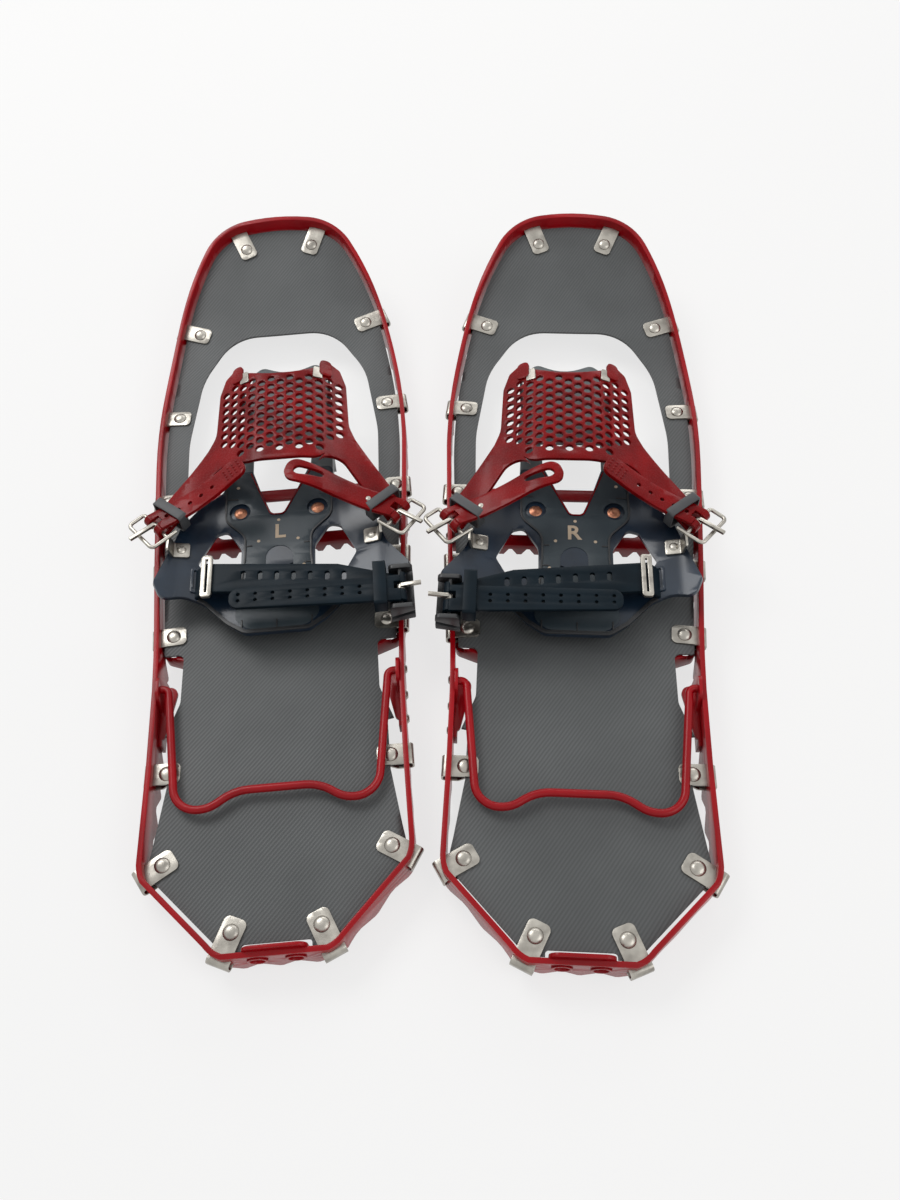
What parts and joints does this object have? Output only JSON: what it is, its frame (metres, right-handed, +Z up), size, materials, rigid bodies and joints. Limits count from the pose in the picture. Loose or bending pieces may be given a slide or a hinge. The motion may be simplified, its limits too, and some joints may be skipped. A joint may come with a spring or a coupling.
{
  "type": "pair of snowshoes",
  "caption": "Left and right snowshoe with a toothed metal band frame, fabric deck, pivoting binding with perforated wrap, heel strap, crampon and flip-up heel lifter.",
  "frame": {"origin": "on the ground, in the middle of the pair's bounding box", "axes": "+Y towards the toes, +X towards the right shoe, +Z up"},
  "size_m": [0.396, 0.5768, 0.0702],
  "materials": {
    "frame_red": "satin powder coat on aluminium",
    "bright_steel": "tumbled stainless steel",
    "crampon_steel": "plain pressed steel",
    "deck_fabric": "coated twill, satin",
    "navy_plastic": "moulded soft plastic, satin",
    "navy_strap": "moulded strap, satin",
    "red_strap": "translucent moulded plastic, glossy",
    "black_plastic": "moulded nylon",
    "copper": "plain copper rivet"
  },
  "bodies": {
    "left_shoe": {"left_frame_blade": "frame_red", "left_tail_splice_plate": "frame_red", "left_band_rivets_and_eyelets": "bright_steel", "left_front_cross_member": "frame_red", "left_rear_cross_member": "frame_red", "left_deck": "deck_fabric", "left_deck_clips": "bright_steel", "left_deck_rivets": "bright_steel", "left_lifter_brackets": "frame_red", "left_pivot_pins": "bright_steel"},
    "left_lifter": {"left_heel_lifter_bail": "frame_red"},
    "left_binding": {"left_pivot_bushings": "black_plastic", "left_crampon_plate": "crampon_steel", "left_base_plate": "navy_plastic", "left_base_rivets": "copper", "left_forefoot_wrap": "red_strap", "left_medial_keeper": "black_plastic", "left_lateral_keeper": "black_plastic", "left_medial_buckle": "bright_steel", "left_lateral_buckle": "bright_steel", "left_buckle_rivets": "bright_steel", "left_heel_strap": "navy_strap", "left_heel_strap_keeper": "black_plastic", "left_heel_buckle": "black_plastic", "left_heel_strap_slide": "bright_steel"},
    "left_medial_prong": {"left_medial_prong": "bright_steel"},
    "left_lateral_prong": {"left_lateral_prong": "bright_steel"},
    "left_heel_prong": {"left_heel_prong": "bright_steel"},
    "right_shoe": {"right_frame_blade": "frame_red", "right_tail_splice_plate": "frame_red", "right_band_rivets_and_eyelets": "bright_steel", "right_front_cross_member": "frame_red", "right_rear_cross_member": "frame_red", "right_deck": "deck_fabric", "right_deck_clips": "bright_steel", "right_deck_rivets": "bright_steel", "right_lifter_brackets": "frame_red", "right_pivot_pins": "bright_steel"},
    "right_lifter": {"right_heel_lifter_bail": "frame_red"},
    "right_binding": {"right_pivot_bushings": "black_plastic", "right_crampon_plate": "crampon_steel", "right_base_plate": "navy_plastic", "right_base_rivets": "copper", "right_forefoot_wrap": "red_strap", "right_medial_keeper": "black_plastic", "right_lateral_keeper": "black_plastic", "right_medial_buckle": "bright_steel", "right_lateral_buckle": "bright_steel", "right_buckle_rivets": "bright_steel", "right_heel_strap": "navy_strap", "right_heel_strap_keeper": "black_plastic", "right_heel_buckle": "black_plastic", "right_heel_strap_slide": "bright_steel"},
    "right_medial_prong": {"right_medial_prong": "bright_steel"},
    "right_lateral_prong": {"right_lateral_prong": "bright_steel"},
    "right_heel_prong": {"right_heel_prong": "bright_steel"}
  },
  "joints": [
    {"name": "right_shoe_lift", "type": "slide", "parent": "left_shoe", "child": "right_shoe", "axis": [0, 0, 1], "range_m": [0, 0.12]},
    {"name": "left_binding_pivot", "type": "hinge", "parent": "left_shoe", "child": "left_binding", "pos_m": [-0.10125, 0.04216, 0.018], "axis": [-0.9977, -0.0671, 0], "range_deg": [0, 60]},
    {"name": "left_heel_lifter", "type": "hinge", "parent": "left_shoe", "child": "left_lifter", "pos_m": [-0.09084, -0.11249, 0.023], "axis": [-0.9977, -0.0671, 0], "range_deg": [0, 98]},
    {"name": "left_medial_prong_hinge", "type": "hinge", "parent": "left_binding", "child": "left_medial_prong", "pos_m": [-0.01694, -0.00428, 0.0464], "axis": [-0.5899, -0.8075, 0], "range_deg": [0, 80]},
    {"name": "left_lateral_prong_hinge", "type": "hinge", "parent": "left_binding", "child": "left_lateral_prong", "pos_m": [-0.17492, -0.0099, 0.0464], "axis": [-0.6928, 0.7212, 0], "range_deg": [0, 80]},
    {"name": "left_heel_prong_hinge", "type": "hinge", "parent": "left_binding", "child": "left_heel_prong", "pos_m": [-0.01501, -0.06278, 0.0465], "axis": [0.0671, -0.9977, 0], "range_deg": [0, 80]},
    {"name": "right_binding_pivot", "type": "hinge", "parent": "right_shoe", "child": "right_binding", "pos_m": [0.10125, 0.03366, 0.018], "axis": [-0.9977, 0.0671, 0], "range_deg": [0, 60]},
    {"name": "right_heel_lifter", "type": "hinge", "parent": "right_shoe", "child": "right_lifter", "pos_m": [0.09084, -0.12099, 0.023], "axis": [-0.9977, 0.0671, 0], "range_deg": [0, 98]},
    {"name": "right_medial_prong_hinge", "type": "hinge", "parent": "right_binding", "child": "right_medial_prong", "pos_m": [0.01694, -0.01278, 0.0464], "axis": [-0.5899, 0.8075, 0], "range_deg": [0, 80]},
    {"name": "right_lateral_prong_hinge", "type": "hinge", "parent": "right_binding", "child": "right_lateral_prong", "pos_m": [0.17492, -0.0184, 0.0464], "axis": [-0.6928, -0.7212, 0], "range_deg": [0, 80]},
    {"name": "right_heel_prong_hinge", "type": "hinge", "parent": "right_binding", "child": "right_heel_prong", "pos_m": [0.01501, -0.07128, 0.0465], "axis": [0.0671, 0.9977, 0], "range_deg": [0, 80]}
  ]
}
